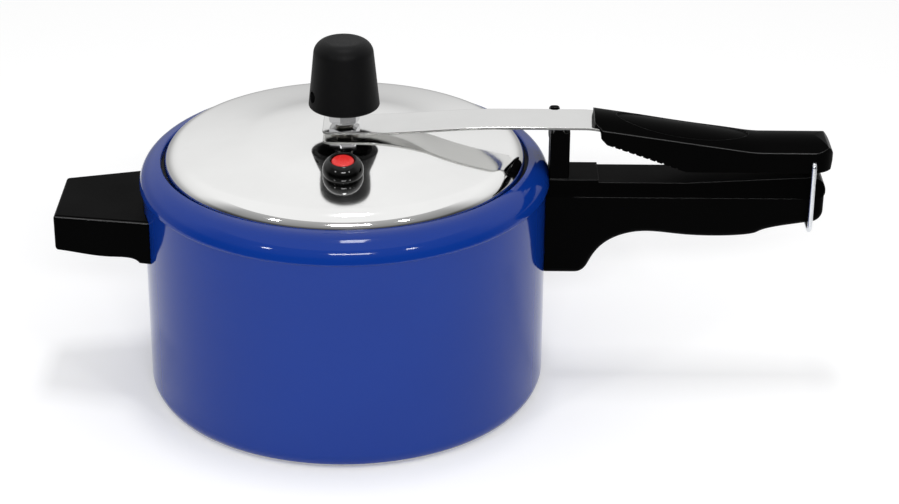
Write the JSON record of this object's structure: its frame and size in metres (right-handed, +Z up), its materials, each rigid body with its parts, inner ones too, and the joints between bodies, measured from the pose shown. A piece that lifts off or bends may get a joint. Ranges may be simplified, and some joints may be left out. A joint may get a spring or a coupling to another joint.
{
  "type": "stovetop pressure cooker",
  "caption": "Stovetop pressure cooker: enamelled round pot, inner-closing oval lid hung from a lever strap, bell weight on a vent pipe, wire bail between two grips, short opposite handle.",
  "frame": {"origin": "centre of the pot's flat underside", "axes": "+Z up, +X along the long handle, -Y the side the safety valve is on"},
  "size_m": [0.422, 0.2236, 0.2011],
  "materials": {
    "blue_enamel": "gloss blue enamel on drawn aluminium",
    "polished_aluminium": "mirror polished",
    "black_phenolic": "moulded, satin",
    "weight_phenolic": "moulded, matt",
    "strap_steel": "polished sheet",
    "polished_nut": "polished",
    "pipe_metal": "plated, bright",
    "core_metal": "turned",
    "bail_wire": "bright zinc",
    "bracket_steel": "mill",
    "screw_steel": "zinc plated",
    "rivet_aluminium": "headed, plain",
    "gasket_rubber": "moulded",
    "valve_rubber": "moulded, glossy",
    "red_plastic": "moulded, glossy"
  },
  "bodies": {
    "cooker_body": {"pot_shell": "blue_enamel", "main_bracket": "bracket_steel", "main_bracket_rivets": "rivet_aluminium", "main_handle": "black_phenolic", "main_handle_screws": "screw_steel", "helper_bracket": "bracket_steel", "helper_bracket_rivets": "rivet_aluminium", "helper_handle": "black_phenolic", "helper_handle_screw": "screw_steel"},
    "lever": {"lever_strap": "strap_steel", "upper_handle": "black_phenolic", "upper_handle_screws": "screw_steel"},
    "lid": {"lid_shell": "polished_aluminium", "lid_gasket": "gasket_rubber", "vent_pipe": "pipe_metal", "vent_pipe_seal": "gasket_rubber", "vent_pipe_nut": "pipe_metal", "strap_nut": "polished_nut", "safety_plug": "valve_rubber"},
    "bail": {"wire_bail": "bail_wire"},
    "weight": {"weight_cap": "weight_phenolic", "weight_core": "core_metal", "weight_needle": "pipe_metal"},
    "safety_pin": {"safety_button": "red_plastic", "safety_clip": "screw_steel"}
  },
  "joints": [
    {"name": "lever_rock", "type": "hinge", "parent": "cooker_body", "child": "lever", "pos_m": [0.1157, 0, 0.1513], "axis": [0, -1, 0], "range_deg": [0, 8]},
    {"name": "lid_level", "type": "hinge", "parent": "lever", "child": "lid", "pos_m": [0, 0, 0.1523], "axis": [0, -1, 0], "range_deg": [-8, 0]},
    {"name": "bail_swing", "type": "hinge", "parent": "lever", "child": "bail", "pos_m": [0.2534, 0, 0.1377], "axis": [0, -1, 0], "range_deg": [0, 144]},
    {"name": "weight_lift", "type": "slide", "parent": "lid", "child": "weight", "axis": [0, 0, 1], "range_m": [0, 0.03]},
    {"name": "safety_pin_rise", "type": "slide", "parent": "lid", "child": "safety_pin", "axis": [0, 0, 1], "range_m": [0, 0.004]}
  ],
  "couplings": [
    {"joint": "lid_level", "follows": "lever_rock", "ratio": -1},
    {"joint": "bail_swing", "follows": "lever_rock", "ratio": 18}
  ]
}
